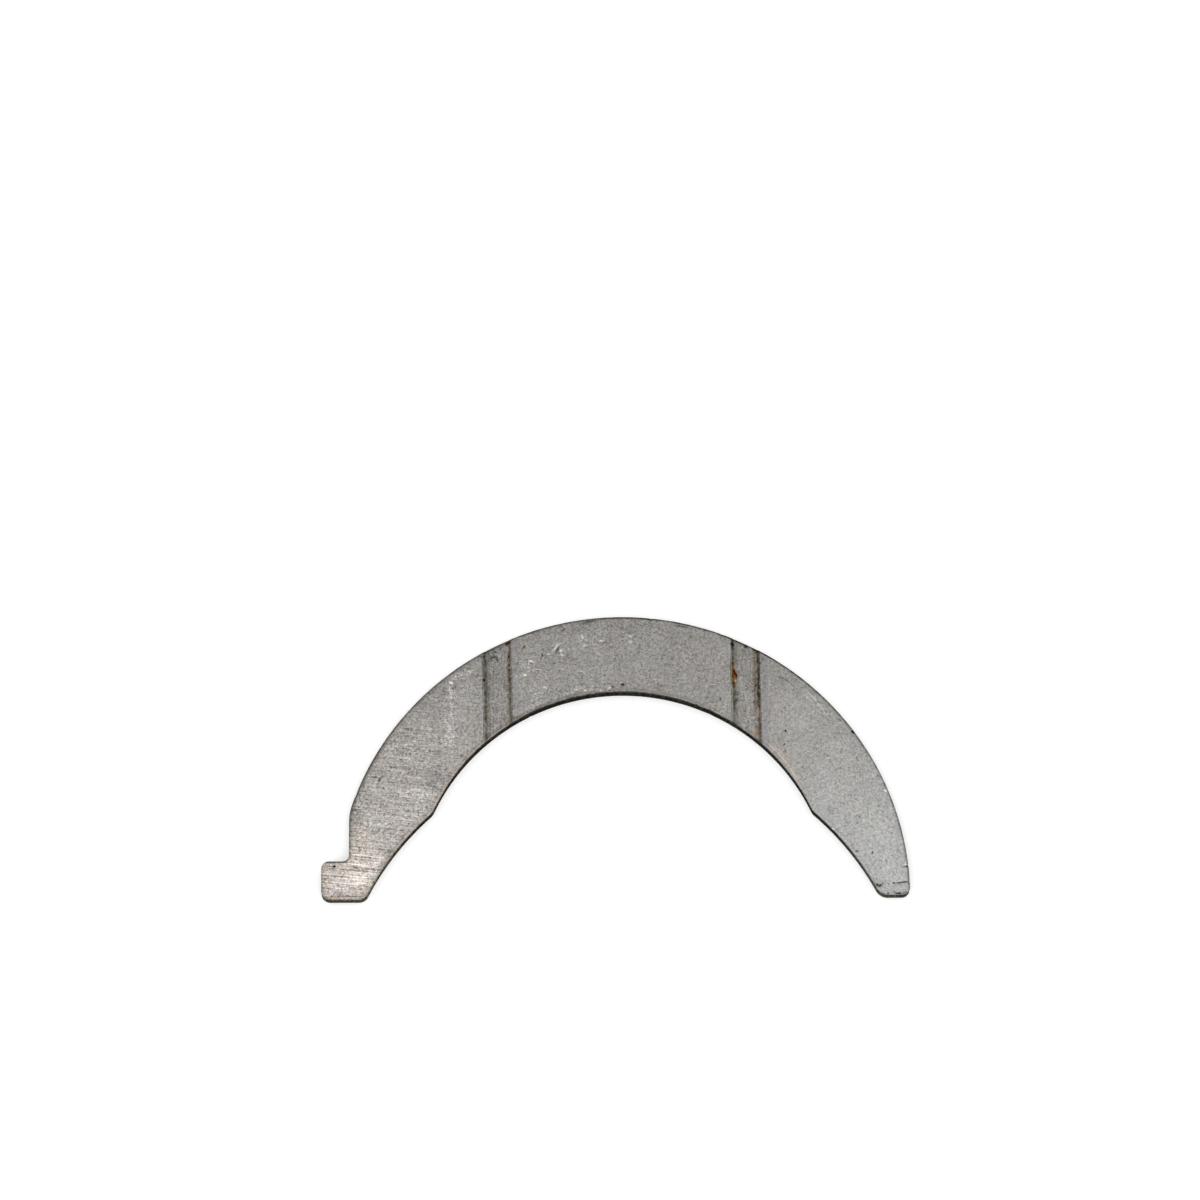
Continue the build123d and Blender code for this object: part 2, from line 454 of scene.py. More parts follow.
def drawOutline(corners):
    # a curve through the corners, even steps, with its outward direction
    tangents, lengths = outlineTangents(corners)
    points, outward = [], []
    for i in range(len(corners)):
        j = (i + 1) % len(corners)
        turn = math.acos(float(np.clip(tangents[i] @ tangents[j], -1, 1)))
        reach = lengths[i]
        if turn > 1e-4:
            reach *= 2 * math.tan(turn / 4) / math.sin(turn / 2)
        count = max(1, round(lengths[i] / meshing["outlineStep"]))
        t = (np.arange(count) / count)[:, None]
        a, b, ta, tb = corners[i], corners[j], tangents[i] * reach, tangents[j] * reach
        points.append(
            (2 * t**3 - 3 * t**2 + 1) * a
            + (t**3 - 2 * t**2 + t) * ta
            + (3 * t**2 - 2 * t**3) * b
            + (t**3 - t**2) * tb
        )
        along = 6 * (t**2 - t) * (a - b) + (3 * t**2 - 4 * t + 1) * ta + (3 * t**2 - 2 * t) * tb
        along /= np.hypot(*along.T)[:, None]
        outward.append(np.column_stack([along[:, 1], -along[:, 0]]))
    return np.vstack(points), np.vstack(outward)


def grooveFrame(side):
    # middle of the groove and the directions across and along it
    x = washer["grooveOffset"]
    middle = (math.sqrt(washer["outerRadius"] ** 2 - x**2) + math.sqrt(washer["innerRadius"] ** 2 - x**2)) / 2
    lean = math.radians(washer["grooveLean"])
    across = np.array([math.cos(lean), math.sin(lean)])
    along = np.array([-math.sin(lean), math.cos(lean)])
    return np.array([side * x, middle]), across, along


def grooveHeight(points):
    # the milled section: flat floor, rounded up to the face
    height = np.full(len(points), washer["thickness"])
    floor = washer["thickness"] - washer["grooveDepth"]
    corner = washer["cutterCorner"]
    flat = washer["cutterWidth"] / 2 - corner
    for side in (-1, 1):
        middle, across, _ = grooveFrame(side)
        out = np.abs((points - middle) @ across) - flat
        rise = corner - np.sqrt(np.maximum(corner**2 - np.clip(out, 0, corner) ** 2, 0))
        height = np.minimum(height, np.where(out < corner, floor + rise, washer["thickness"]))
    return height


def stroke(points, x, y, turn, length, width):
    # a soft-edged stroke, 1 in its middle
    c, s = math.cos(math.radians(turn)), math.sin(math.radians(turn))
    dx, dy = points[:, 0] - x, points[:, 1] - y
    u, v = (dx * c + dy * s) / (length / 2), (dy * c - dx * s) / (width / 2)
    return np.exp(-(u**4) - v**2)


def markLayers(points):
    # depth cut in the face and its tone, which holds painted highlights and shadows, then the stains and the
    # scuffed places for the painted glints
    depth, tone = np.zeros((2, len(points)))
    for *shape, deep, shade in damage["marks"]:
        spot = stroke(points, *shape)
        depth += deep * spot
        tone += shade * spot
    layers = {"markTone": tone}
    for kind, rows in damage["stains"].items():
        layers[kind] = sum(amount * stroke(points, *shape) for *shape, amount in rows)
    return depth, layers


def outlineNicks(points):
    depth = np.full(len(points), damage["edgeSoftening"])
    depth += damage["edgeWander"] * np.maximum(0, wander(points, damage["edgeSize"], 3) + 0.1)
    for x, y, length, deep in damage["nicks"]:
        away = np.hypot(points[:, 0] - x, points[:, 1] - y) / (length / 2)
        depth += deep * np.exp(-(away**2))
    return depth


def extraPlaces():
    # closer points on each narrow mark and stain
    places = []
    stains = [row for kind, rows in damage["stains"].items() if kind != "scuffGlints" for row in rows]
    for x, y, turn, length, width, *_ in damage["marks"] + stains:
        if width > meshing["wideMark"]:
            continue
        c, s = math.cos(math.radians(turn)), math.sin(math.radians(turn))
        over = meshing["markOver"]
        count = max(4, math.ceil(length * over / meshing["markStep"]))
        for u in np.linspace(-over / 2, over / 2, count) * length:
            for v in meshing["markRows"]:
                places.append((x + u * c - v * width * s, y + u * s + v * width * c))
    places = np.array(places)
    _, first = np.unique(np.round(places / meshing["markGap"]), axis=0, return_index=True)
    return places[np.sort(first)]


def spread(points, step):
    # staggered rows of places, a little uneven, all over the box that holds the outline
    rng = np.random.default_rng(meshing["seed"])
    low, high = points.min(0), points.max(0)
    rows = np.arange(low[1], high[1], step * meshing["rowHeight"])
    columns = np.arange(low[0], high[0], step)
    grid = np.array([(x + (r % 2) * step / 2, y) for r, y in enumerate(rows) for x in columns])
    return grid + rng.uniform(-meshing["jitter"], meshing["jitter"], grid.shape) * step


def treeOf(places):
    tree = KDTree(len(places))
    for i, (x, y) in enumerate(places):
        tree.insert((x, y, 0.0), i)
    tree.balance()
    return tree


def insideOnly(candidates, tree, points, outward, margin):
    # each place inside, with how far in it lies and the outline point next to it
    kept = []
    for x, y in candidates:
        _, index, away = tree.find((x, y, 0.0))
        (px, py), (nx, ny) = points[index], outward[index]
        if away > margin and (x - px) * nx + (y - py) * ny < 0:
            kept.append((x, y, away, index))
    return np.array(kept)


def clearOf(candidates, others, gap):
    tree = treeOf(others)
    return np.array([p for p in candidates if tree.find((p[0], p[1], 0.0))[2] > gap])


def layOut(points, outward, rings, innerPlaces, tree, closePlaces=()):
    # one flat sheet: place, distance in from the outline, and nearest outline point; then its triangles
    count = len(points)
    blocks = []
    for inset in rings:
        every = 1 if inset < meshing["coarseFrom"] else 2
        index = np.arange(0, count, every)
        places = points[index] - outward[index] * inset
        blocks.append(np.column_stack([places, np.full(len(index), inset), index]))
    blocks.append(insideOnly(innerPlaces, tree, points, outward, rings[-1] + meshing["rimGap"]))
    if len(closePlaces):
        blocks.append(insideOnly(closePlaces, tree, points, outward, meshing["markMargin"]))
    sheet = np.vstack(blocks)
    loop = [(i, (i + 1) % count) for i in range(count)]
    _, _, faces, origins, _, _ = delaunay_2d_cdt([Vector(p) for p in sheet[:, :2]], loop, [], 1, 1e-7)
    triangles = np.array([[origins[v][0] for v in face] for face in faces])
    corners = sheet[triangles, :2]
    side = np.cross(corners[:, 1] - corners[:, 0], corners[:, 2] - corners[:, 0])
    triangles[side < 0] = triangles[side < 0][:, ::-1]
    return sheet, triangles[np.abs(side) > 1e-9]


def buildWasher():
    corners = readOutline(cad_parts["thrust_washer"].data, washer["backBreak"])
    points, outward = drawOutline(corners)
    count = len(points)
    tree = treeOf(points)

    # the grooved face
    lattice = []
    along = np.arange(-meshing["grooveEnds"], meshing["grooveEnds"], meshing["grooveAlong"])
    offsets = sorted({s * a for a in meshing["grooveAcross"] for s in (-1, 1)})
    for side in (-1, 1):
        middle, acrossWay, alongWay = grooveFrame(side)
        lattice += [middle + acrossWay * a + alongWay * b for a in offsets for b in along]
    lattice = np.array(lattice)
    extra = extraPlaces()
    field = spread(points, meshing["faceStep"])
    reach = max(meshing["grooveAcross"]) + meshing["grooveMargin"]
    for side in (-1, 1):
        middle, acrossWay, _ = grooveFrame(side)
        field = field[np.abs((field - middle) @ acrossWay) > reach]
    lattice = clearOf(lattice, extra, meshing["latticeGap"])
    field = clearOf(field, extra, meshing["fieldGap"])
    face, faceTriangles = layOut(points, outward, meshing["rings"], np.vstack([field, lattice]), tree, extra)

    # the plain back
    backField = spread(points, meshing["backStep"])
    back, backTriangles = layOut(points, outward, meshing["backRings"], backField, tree)

    nick = outlineNicks(points)
    uneven = np.clip(wander(points, damage["rollSize"], 3), -0.9, 0.9)
    rollOver = washer["faceEdge"] * (1.0 + damage["rollWander"] * uneven)

    def shifted(sheet):
        index = sheet[:, 3].astype(int)
        fall = 1.0 - smoothStep(sheet[:, 2], 0.0, meshing["nickReach"])
        return sheet[:, :2] - outward[index] * (nick[index] * fall)[:, None]

    inset = face[:, 2]
    radius = rollOver[face[:, 3].astype(int)]
    short = np.maximum(radius - inset, 0)
    rolled = washer["thickness"] - radius + np.sqrt(np.maximum(radius**2 - short**2, 0))
    flat = face[:, :2]
    waves = [share * wander(flat, size, 2) for size, share in damage["waves"]]
    hollow = damage["waviness"] * (damage["hollow"] + waves[0] + waves[1])
    depth, looks = markLayers(flat)
    faceHeight = np.minimum(rolled, grooveHeight(flat)) - np.maximum(hollow, 0) - depth
    facePlaces = np.column_stack([shifted(face), faceHeight])

    backPlaces = np.column_stack([shifted(back), np.maximum(washer["backBreak"] - back[:, 2], 0)])

    # the sheared wall between them
    rows = np.array(meshing["wallRows"])
    top, bottom = facePlaces[:count], backPlaces[:count]
    level = damage["shearLevel"] + damage["shearWander"] * wander(points, damage["shearSize"], 3)
    wall = []
    for t in rows[1:-1]:
        places = top * (1 - t) + bottom * t
        grain = np.column_stack([places[:, :2], places[:, 2] * damage["lineStretch"]])
        torn = smoothStep(level - places[:, 2], 0.0, damage["tearBlend"])
        rough = damage["tearRoughness"] * wander(places, damage["tearSize"], 3)
        deep = damage["shearLines"] * np.abs(wander(grain, damage["lineSize"], 2)) * (1 - torn)
        deep += torn * (damage["tearInset"] + rough)
        ends = min(1.0, min(t, 1 - t) / damage["wallEnds"])
        places[:, :2] -= outward * (np.maximum(deep, 0) * ends)[:, None]
        wall.append(places)

    # one mesh of the three
    places = np.vstack([facePlaces, backPlaces] + wall)
    backStart, wallStart = len(facePlaces), len(facePlaces) + len(backPlaces)
    around = np.arange(count)
    levels = [around]
    levels += [wallStart + count * k + around for k in range(len(wall))]
    levels.append(backStart + around)
    quads = []
    for upper, lower in zip(levels, levels[1:]):
        quads.append(np.column_stack([upper, lower, np.roll(lower, -1), np.roll(upper, -1)]))
    quads = np.vstack(quads)
    faces = faceTriangles.tolist() + (backTriangles[:, ::-1] + backStart).tolist() + quads.tolist()
    mesh = bpy.data.meshes.new("thrustWasherBody")
    mesh.from_pydata((places * mm).tolist(), [], faces)
    finish = np.repeat([0, 2, 1], [len(faceTriangles), len(backTriangles), len(quads)])
    mesh.polygons.foreach_set("material_index", finish)
    mesh.polygons.foreach_set("use_smooth", np.ones(len(faces), bool))

    # what the finishes read: zero where a layer doesn't reach
    outer = (np.hypot(*points.T) > washer["rimSplit"]) & (outward[:, 1] > -0.5)
    sheets = np.vstack([face, back])
    looks = {"rimDistance": sheets[:, 2], "outerRim": outer[sheets[:, 3].astype(int)], **looks}
    for name, values in looks.items():
        full = np.zeros(len(places), np.float32)
        full[: len(values)] = values
        mesh.attributes.new(name, "FLOAT", "POINT").data.foreach_set("value", full)
    mesh.update()
    mesh.set_sharp_from_angle(angle=math.radians(meshing["sharpAngle"]))
    mesh.validate()
    print("washer meshed:", len(places), "points,", len(faces) + len(quads), "triangles")
    return addObject("washerBody", mesh)


washerBody = buildWasher()
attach(washerBody, "root")
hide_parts("thrust_washer")

# Light and floor, in metres
studio = {
    "skyTop": 0.95,
    "skyLow": 0.35,
    "skyBlend": 0.75,
    "softboxSize": (0.6, 0.4),
    "softboxPlace": (-0.03, -0.1, 0.42),
    "softboxTarget": (0.0, 0.02, 0.0),
    "softboxPower": 0.5,
    "floorColour": (0.9, 0.9, 0.9, 1.0),
    "floorRoughness": 0.9,
    "floorGlow": 0.32,
    "floorSize": 3.0,
}

# The photo's camera: places in mm, and the nearest and farthest that it sees in metres
camera = {
    "place": (-10.27, -215.72, 965.32),
    "target": (-3.10, 45.23, 0.0),
    "up": (0.0047, 0.9653, 0.2610),
    "lens": 202.33,
    "sensor": 36.0,
    "range": (0.05, 20.0),
}


def aimed(place, target, up):
    back = (Vector(place) - Vector(target)).normalized()
    right = Vector(up).cross(back).normalized()
    turn = Matrix((right, back.cross(right), back)).transposed().to_4x4()
    return Matrix.Translation(Vector(place)) @ turn


def makeCamera():
    data = bpy.data.cameras.new("photoCamera")
    data.lens = camera["lens"]
    data.sensor_width = camera["sensor"]
    data.clip_start, data.clip_end = camera["range"]
    eye = addObject("photoCamera", data)
    eye.matrix_world = aimed(Vector(camera["place"]) * mm, Vector(camera["target"]) * mm, camera["up"])
    bpy.context.scene.camera = eye


def makeSky():
    # bright overhead, darker towards the horizon
    world = bpy.data.worlds.new("studioSky")
    world.use_nodes = True
    sky = world.node_tree.nodes["Background"].inputs
    upward = split(Wire(newNode(world.node_tree, "TexCoord").outputs["Generated"]))[2]
    sky["Color"].default_value = (1, 1, 1, 1)
    feed(sky["Strength"], ranged(upward, 0.0, studio["skyBlend"], studio["skyLow"], studio["skyTop"]))
    bpy.context.scene.world = world


def makeSoftbox():
    light = bpy.data.lights.new("softbox", "AREA")
    light.shape = "RECTANGLE"
    light.size, light.size_y = studio["softboxSize"]
    light.energy = studio["softboxPower"]
    box = addObject("softbox", light)
    box.matrix_world = aimed(studio["softboxPlace"], studio["softboxTarget"], (0.0, 1.0, 0.0))
    box.visible_camera = False


def makeFloor():
    half = studio["floorSize"] / 2
    corners = [(-half, -half, 0), (half, -half, 0), (half, half, 0), (-half, half, 0)]
    mesh = bpy.data.meshes.new("studioFloor")
    mesh.from_pydata(corners, [], [(0, 1, 2, 3)])
    paper = bpy.data.materials.new("floorPaper")
    paper.use_nodes = True
    shader = paper.node_tree.nodes["Principled BSDF"]
    shader.inputs["Base Color"].default_value = studio["floorColour"]
    shader.inputs["Roughness"].default_value = studio["floorRoughness"]
    shader.inputs["Specular IOR Level"].default_value = 0.0
    # white to the camera and in reflections, without more light on the washer
    ray = newNode(paper.node_tree, "LightPath").outputs
    seen = Wire(ray["Is Camera Ray"]) + Wire(ray["Is Glossy Ray"])
    seen = (seen + Wire(ray["Is Transmission Ray"])).clamped()
    shader.inputs["Emission Color"].default_value = (1, 1, 1, 1)
    feed(shader.inputs["Emission Strength"], seen * studio["floorGlow"])
    mesh.materials.append(paper)
    floor = addObject("studioFloor", mesh)


# A value in a node tree, so that a finish can be written with plain signs
class Wire:
    def __init__(self, socket):
        self.socket, self.tree = socket, socket.id_data

    def __add__(self, other):
        return calc("ADD", self, other)

    def __sub__(self, other):
        return calc("SUBTRACT", self, other)

    def __rsub__(self, other):
        return calc("SUBTRACT", other, self)

    def __mul__(self, other):
        return calc("MULTIPLY", self, other)

    def __truediv__(self, other):
        return calc("DIVIDE", self, other)

    def __abs__(self):
        return calc("ABSOLUTE", self)

    __radd__, __rmul__ = __add__, __mul__

    def clamped(self):
        # kept between 0 and 1 by the node that it comes from
        self.socket.node.use_clamp = True
        return self


def newNode(tree, kind, **settings):
    node = tree.nodes.new("ShaderNode" + kind)
    for key, value in settings.items():
        setattr(node, key, value)
    return node


def feed(socket, value):
    if isinstance(value, Wire):
        value.tree.links.new(value.socket, socket)
    else:
        socket.default_value = value


def fed(kind, values, output=0, tree=None, **settings):
    # a new node with these values on its inputs, in the tree of the first wire among them
    tree = tree or next(value.tree for value in values.values() if isinstance(value, Wire))
    node = newNode(tree, kind, **settings)
    for key, value in values.items():
        feed(node.inputs[key], value)
    return Wire(node.outputs[output])


def calc(operation, *values):
    return fed("Math", dict(enumerate(values)), operation=operation)


def vectorCalc(operation, vector, other):
    return fed("VectorMath", {0: vector, 1: other}, operation=operation)


def scaled(vector, factors):
    return vectorCalc("MULTIPLY", vector, factors)


def split(value, kind="XYZ"):
    node = newNode(value.tree, "Separate" + kind)
    feed(node.inputs[0], value)
    return [Wire(output) for output in node.outputs]


def swing(value, amount):
    # a 0 to 1 value turned to one round zero, this strong
    return (value - 0.5) * amount


def ranged(value, low, high, toLow=0.0, toHigh=1.0):
    limits = {"Value": value, "From Min": low, "From Max": high, "To Min": toLow, "To Max": toHigh}
    return fed("MapRange", limits, "Result", interpolation_type="SMOOTHSTEP")


def fading(value, low, high):
    return ranged(value, low, high, 1.0, 0.0)


def bandOf(value, rise, top, fall, end):
    # 0, up to 1 between rise and top, down to 0 between fall and end
    return ranged(value, rise, top) * fading(value, fall, end)


def cloud(vector, scale, detail=2.0, rough=0.5, warp=0.0):
    # soft lumps, so many to a metre
    lumps = {"Vector": vector, "Scale": scale, "Detail": detail, "Roughness": rough, "Distortion": warp}
    return fed("TexNoise", lumps, "Fac")


def tinted(factor, first, second, mode="MIX"):
    first, second = ((*c, 1) if isinstance(c, tuple) else c for c in (first, second))
    values = {"Factor": factor, 6: first, 7: second}
    return fed("Mix", values, 2, data_type="RGBA", blend_type=mode, clamp_factor=True)


def dyed(colour, dye):
    return tinted(1.0, colour, dye, "MULTIPLY")


def turned(x, y, angle):
    # x and y in axes turned by an angle that may be a wire
    c, s = (fed("Math", {0: angle}, tree=x.tree, operation=part) for part in ("COSINE", "SINE"))
    return x * c + y * s, y * c - x * s


def newGroup(name, vectors, numbers, outputs):
    tree = bpy.data.node_groups.new(name, "ShaderNodeTree")
    addSocket = tree.interface.new_socket
    for label in vectors:
        addSocket(label, in_out="INPUT", socket_type="NodeSocketVector")
    for label, value in numbers.items():
        addSocket(label, in_out="INPUT", socket_type="NodeSocketFloat").default_value = value
    for label in outputs:
        addSocket(label, in_out="OUTPUT", socket_type="NodeSocketFloat")
    given = {socket.name: Wire(socket) for socket in tree.nodes.new("NodeGroupInput").outputs}
    return tree, given, tree.nodes.new("NodeGroupOutput").inputs


def placeGroup(group, place, **values):
    node = newNode(place.tree, "Group", node_tree=group)
    for name, value in {"Place": place, **values}.items():
        feed(node.inputs[name], value)
    return {socket.name: Wire(socket) for socket in node.outputs}


# Fine mottled grain, with brushed lines along X and along Y. A cloud's row: its lumps to a metre, detail,
# roughness and warp. A mask's row: its own turn of the place, its cloud, and from where to where it shows
lappedGrain = {
    "fine": (4300.0, 1.0, 0.5),
    "coarse": (2100.0, 2.0, 0.6),
    "patch": (380.0, 3.0, 0.6, 0.4),
    "toneShares": {"fine": 1.9, "coarse": 1.1, "patch": 0.35},
    "heightShares": {"fine": 0.8, "coarse": 0.8},
    "tint": ((1.0, 1.0, 1.3), 3000.0, 1.0, 0.5),
    "brushAngle": -6.0,
    "brushSizes": ((75.0, 4500.0), (330.0, 5600.0)),
    "brushed": (1.0, 1.0, 0.5, 0.1),
    "brushStrength": 1.9,
    "crossSizes": (4200.0, 420.0, 900.0),
    "crossed": (1.0, 2.0, 0.6, 0.1),
    "crossStrength": 2.6,
    "masks": {
        "Hue": ((1.0, -1.0, 1.0), 1500.0, 3.0, 0.72, 0.3, 0.7),
        "Cast": ((1.0, 1.2, -1.0), 3800.0, 1.0, 0.5, 0.3, 0.7),
        "Sparkle": ((-1.0, 1.1, 1.0), 2900.0, 0.0, 0.5, 0.7, 0.82),
        "Speck": ((1.1, -1.0, 1.0), 1900.0, 1.0, 0.5, 0.6, 0.78),
    },
}


def makeLappedGrain():
    look = lappedGrain
    outputs = ("Tone", "Tint", *look["masks"], "Height")
    tree, given, out = newGroup("lappedGrain", ["Place"], {"LinesX": 0.5, "LinesY": 0.2}, outputs)
    place = given["Place"]
    x, y, _ = split(place)
    clouds = {name: cloud(place, *look[name]) for name in ("fine", "coarse", "patch")}
    # brushed at a small angle, as the hand drew it
    along, across = turned(x, y, math.radians(look["brushAngle"]))
    brushed = []
    for length, fineness in look["brushSizes"]:
        stretched = fed("CombineXYZ", {0: along * length, 1: across * fineness})
        brushed.append(swing(cloud(stretched, *look["brushed"]), look["brushStrength"]))
    crossed = swing(cloud(scaled(place, look["crossSizes"]), *look["crossed"]), look["crossStrength"])
    lines = (brushed[0] + brushed[1]) * given["LinesX"] + crossed * given["LinesY"]
    for name, shares in (("Tone", look["toneShares"]), ("Height", look["heightShares"])):
        first, *others = (swing(clouds[kind], share) for kind, share in shares.items())
        feed(out[name], sum(others, first) + lines)
    turn, *kind = look["tint"]
    feed(out["Tint"], cloud(scaled(place, turn), *kind))
    for name, (turn, size, detail, rough, start, full) in look["masks"].items():
        feed(out[name], ranged(cloud(scaled(place, turn), size, detail, rough), start, full))
    return tree


# Scattered short scratches, one or none to a cell, each turned its own way. Their sizes are in metres. Each
# gives a line, its Mark, that the finishes brighten as a painted highlight, and a line beside it, its Shadow,
# that they darken as a painted shadow
shortScratches = {
    "sizes": {"Cells": 400.0, "Length": 0.002, "Width": 0.0001, "Amount": 0.5},
    "shortest": 0.2,
    "bend": 120.0,
    "endFade": (0.2, 0.5),
    "sideFade": (0.3, 0.8),
    "shadowShift": 1.3,
}


def makeShortScratches():
    look = shortScratches
    tree, given, out = newGroup("shortScratches", ["Place"], look["sizes"], ["Mark", "Shadow"])
    cells = newNode(tree, "TexVoronoi", voronoi_dimensions="2D", feature="F1")
    feed(cells.inputs["Vector"], given["Place"])
    feed(cells.inputs["Scale"], given["Cells"])
    x, y, _ = split(vectorCalc("SUBTRACT", given["Place"], Wire(cells.outputs["Position"])))
    turn, size, luck = split(Wire(cells.outputs["Color"]), "Color")
    u, v = turned(x, y, turn * (2 * math.pi))
    v += u * u * swing(size, look["bend"])
    ends = fading(abs(u) / (given["Length"] * (size + look["shortest"])), *look["endFade"])
    present = ends * calc("LESS_THAN", luck, given["Amount"])
    for name, shift in (("Mark", 0.0), ("Shadow", look["shadowShift"])):
        feed(out[name], fading(abs(v / given["Width"] - shift), *look["sideFade"]) * present)
    return tree


def makeGroovePlace():
    # distance across and along one groove, from the middle of its floor, in mm
    tree, given, out = newGroup("groovePlace", ["Place", "Middle"], {}, ["Across", "Along"])
    x, y, _ = split(vectorCalc("SUBTRACT", given["Place"], given["Middle"]))
    across, along = turned(x, y, math.radians(washer["grooveLean"]))
    feed(out["Across"], across / mm)
    feed(out["Along"], along / mm)
    return tree


def steelMaterial(name, look):
    material = bpy.data.materials.new(name)
    material.use_nodes = True
    tree = material.node_tree
    shader = tree.nodes["Principled BSDF"].inputs
    shader["Roughness"].default_value = look["roughness"]
    shader["Metallic"].default_value = look["metallic"]
    shader["Specular IOR Level"].default_value = look["specular"]
    bump = newNode(tree, "Bump")
    bump.inputs["Strength"].default_value = 1.0
    bump.inputs["Distance"].default_value = look["bumpHeight"] * mm
    tree.links.new(bump.outputs["Normal"], shader["Normal"])
    place = Wire(newNode(tree, "TexCoord").outputs["Object"])
    return material, shader, bump.inputs["Height"], place


def layer(tree, name):
    return Wire(newNode(tree, "Attribute", attribute_name=name).outputs["Fac"])


# Dirt and painted shade in the grooves, in mm from a groove's middle and along it. A wall's dark core is
# partly dirt, olive on each groove's left wall and brown on its right, and partly painted shade where the
# groove curves up to the face. A wall's row: its groove, its side, where its core is darkest, the core's
# share of grime, how far it fades up and down, then from where to where its paler skirt reaches, the skirt's
# share, what is left at the lower and upper end, its tint
grooveDirtAndShade = {
    "walls": [
        (-1, -1, 1.72, 0.46, 0.34, 0.32, 1.1, 2.04, 0.32, (0.9, 1.0), "olive"),
        (-1, 1, 1.84, 0.36, 0.3, 0.36, 1.4, 2.15, 0.28, (0.7, 0.8), "brown"),
        (1, -1, 1.79, 0.48, 0.26, 0.35, 1.15, 1.93, 0.4, (0.75, 1.0), "olive"),
        (1, 1, 1.88, 0.43, 0.4, 0.36, 1.15, 2.18, 0.56, (0.7, 0.85), "brown"),
    ],
    "endZones": ((-4.5, -0.8), (4.0, 2.0)),
    "wobble": (1300.0, 2.0, 0.6),
    "wobbleReach": 0.3,
    "lumpSizes": (2300.0, 1100.0, 1100.0),
    "lumps": (1.0, 3.0, 0.65),
    "lineGaps": (0.3, 0.62, 0.5, 1.1),
    "skirtGaps": (0.35, 0.62, 0.4, 1.2),
    "filmTurn": (1.0, 0.7, 1.0),
    "filmPatches": (900.0, 3.0, 0.6),
    "filmGaps": (0.38, 0.62),
    "tintShare": 1.4,
    "film": {-1: 0.15, 1: 0.03},
    "blue": {-1: 0.6, 1: 1.0},
}


def grooveGrimeAndShade(place, grooveGroup):
    # dirt and painted shade on and beside the groove walls, the part of it that is olive or brown, the bluish
    # strip beside each right wall, the inside of the grooves, the dark film in them, and the band along each
    # lip that the face brightens as a painted highlight
    look = grooveDirtAndShade
    corner = washer["cutterCorner"]
    lip = washer["cutterWidth"] / 2 - corner + math.sqrt(corner**2 - (corner - washer["grooveDepth"]) ** 2)
    wobble = swing(cloud(place, *look["wobble"]), look["wobbleReach"])
    lumps = cloud(scaled(place, look["lumpSizes"]), *look["lumps"])
    lineGaps, skirtGaps = ranged(lumps, *look["lineGaps"]), ranged(lumps, *look["skirtGaps"])
    patches = ranged(cloud(scaled(place, look["filmTurn"]), *look["filmPatches"]), *look["filmGaps"])
    totals = dict.fromkeys(("grime", "olive", "brown", "blue", "inside", "film", "lip"), 0.0)
    across, along = {}, {}
    for side in (-1, 1):
        middle, _, _ = grooveFrame(side)
        found = placeGroup(grooveGroup, place, Middle=(*middle * mm, 0.0))
        across[side], along[side] = found["Across"], found["Along"]
        away = abs(across[side])
        inside = fading(away, lip, lip + 0.05)
        beside = bandOf(across[side], lip - 0.05, lip + 0.1, lip + 0.6, lip + 1.2)
        totals["inside"] += inside
        totals["film"] += inside * patches * look["film"][side]
        totals["blue"] += beside * look["blue"][side]
        totals["lip"] += bandOf(away, lip - 0.3, lip - 0.15, lip, lip + 0.06)
    for side, wall, at, dark, up, down, reach, end, pale, left, tint in look["walls"]:
        a = across[side] * wall + wobble
        core = bandOf(a, at - down, at, at + 0.04, at + up)
        skirt = bandOf(a, reach - 0.2, reach + 0.2, end - 0.12, end + 0.06)
        amount = core * lineGaps * dark + skirt * skirtGaps * pale
        for (start, full), share in zip(look["endZones"], left):
            amount *= ranged(along[side], start, full, share, 1.0)
        totals["grime"] += amount
        totals[tint] += amount * look["tintShare"]
    return totals


# Where the face's looks begin and where they are full, in metres of x, of y, or of their slanted
# sums, which fall along the tab's leg and across the tab. Two more values are the look at either end
zones = {
    "feet": (0.037, 0.002),
    "footEnds": (0.002, 0.006),
    "aboveTab": (0.004, 0.006),
    "crown": (0.02, 0.029),
    "crownRim": (0.015, 0.03),
    "arcRim": (0.012, 0.021),
    "rightLeg": (0.016, 0.03),
    "rightFoot": (0.035, 0.04),
    "softer": (-0.005, 0.03, 0.0, -0.2),
    "crossLines": (-0.03, 0.04, 0.08, 0.2),
    "leftLeg": (-0.02, -0.023),
    "leftRim": (-0.012, -0.02),
    "flank": (-0.034, -0.037, 0.0, 0.18),
    "edgeShadeMiddle": (-0.01, 0.015, 0.22, 0.06),
    "edgeShadeTab": (-0.036, -0.031, 0.24, 0.0),
    "crownLine": (-0.01, 0.004, 0.44, 0.75),
    "arcShift": (-0.005, 0.01, 0.0, 0.005),
    "tabLeg": (-0.022, 0.016),
    "brushed": (-0.022, 0.008),
    "tab": (0.026, 0.034),
}

# How far in from the rim a look reaches, in mm: a band's row as in ranged, fading or bandOf
rimBands = {
    "paintedEdgeShade": (0.1, 0.95),
    "edgeShadeWide": (1.0, 3.2, 0.035, 0.0),
    "edgeShadeFlank": (0.1, 0.6),
    "paintedRimShade": (0.14, 0.45),
    "paintedInnerRimShade": (-0.08, 0.12),
    "shaded": (0.2, 0.8, 0.18, 0.0),
    "paleLine": (0.1, 0.16, 0.22, 0.34),
}
